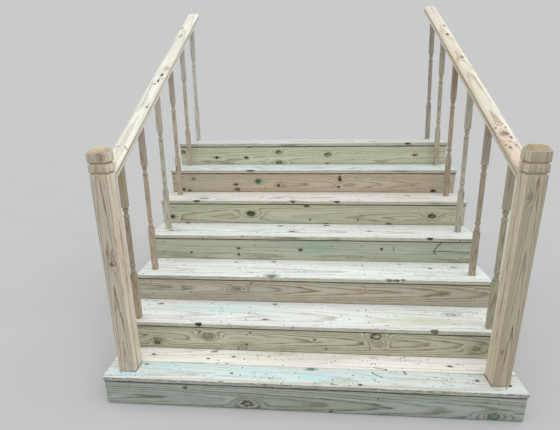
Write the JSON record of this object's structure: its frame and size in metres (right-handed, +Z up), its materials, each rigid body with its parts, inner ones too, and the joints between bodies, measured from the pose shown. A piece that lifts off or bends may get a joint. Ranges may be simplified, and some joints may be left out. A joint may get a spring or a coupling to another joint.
{
  "type": "wooden deck stairs",
  "caption": "Wide wooden deck stairs with closed risers, cut stringers, grooved newel posts, sloping handrails and turned balusters.",
  "frame": {"origin": "centre of the hanger board's back face, the flat face that is fixed to the porch", "axes": "+X to the right seen from the front, +Y up the flight into the porch face, +Z up"},
  "size_m": [2.2, 1.9257, 2.2741],
  "materials": {
    "tread_board": "rough sawn, unpainted",
    "riser_board": "planed, unpainted",
    "framing": "rough sawn, unpainted",
    "newel_post": "planed, unpainted",
    "handrail": "planed smooth, unpainted",
    "baluster": "turned, unpainted"
  },
  "bodies": {
    "root": {"tread_1_front": "tread_board", "tread_1_rear": "tread_board", "tread_2": "tread_board", "tread_3": "tread_board", "tread_4": "tread_board", "tread_5": "tread_board", "tread_6": "tread_board", "tread_7": "tread_board", "riser_1": "riser_board", "riser_2": "riser_board", "riser_3": "riser_board", "riser_4": "riser_board", "riser_5": "riser_board", "riser_6": "riser_board", "riser_7": "riser_board", "stringer_1": "framing", "stringer_2": "framing", "stringer_3": "framing", "stringer_4": "framing", "stringer_5": "framing", "stringer_6": "framing", "stringer_7": "framing", "hanger_board": "framing", "post_block_left": "framing", "post_block_right": "framing", "newel_post_left": "newel_post", "newel_post_right": "newel_post", "handrail_left": "handrail", "handrail_right": "handrail", "baluster_left_2": "baluster", "baluster_left_3": "baluster", "baluster_left_4": "baluster", "baluster_left_5": "baluster", "baluster_left_6": "baluster", "baluster_left_7": "baluster", "baluster_right_2": "baluster", "baluster_right_3": "baluster", "baluster_right_4": "baluster", "baluster_right_5": "baluster", "baluster_right_6": "baluster", "baluster_right_7": "baluster"}
  },
  "joints": []
}
